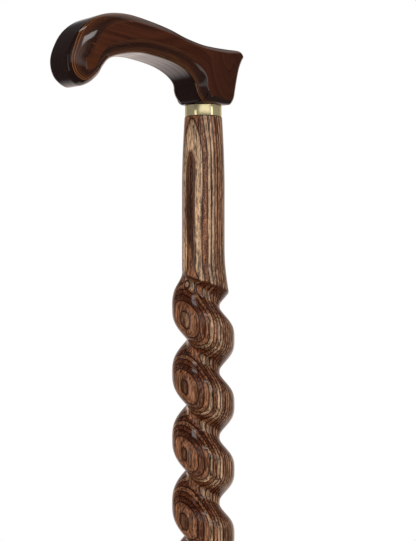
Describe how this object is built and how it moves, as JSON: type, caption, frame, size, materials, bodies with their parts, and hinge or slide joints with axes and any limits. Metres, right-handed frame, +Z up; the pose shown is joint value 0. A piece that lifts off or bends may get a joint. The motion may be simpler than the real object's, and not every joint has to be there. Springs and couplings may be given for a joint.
{
  "type": "walking cane",
  "caption": "Wooden walking cane with a corkscrew-twisted laminated shaft, a carved derby handle, a brass collar and a pull-off rubber ferrule.",
  "frame": {"origin": "middle of the ferrule's sole, where the cane meets the floor", "axes": "+Z up along the shaft, the handle lies along X with its nose towards -X, Y is across the handle"},
  "size_m": [0.1249, 0.038, 0.9144],
  "materials": {
    "dark_wood": "gloss varnish",
    "laminated_wood": "satin-gloss varnish over stained veneers",
    "brass": "polished",
    "steel": "zinc plated",
    "rubber": "matt"
  },
  "bodies": {
    "cane": {"shaft": "laminated_wood", "handle": "dark_wood", "handle_insert": "brass", "connecting_stud": "steel", "collar": "brass"},
    "ferrule": {"ferrule": "rubber", "ferrule_washer": "steel"}
  },
  "joints": [
    {"name": "ferrule_slide", "type": "slide", "parent": "cane", "child": "ferrule", "axis": [0, 0, -1], "range_m": [0, 0.045]}
  ]
}
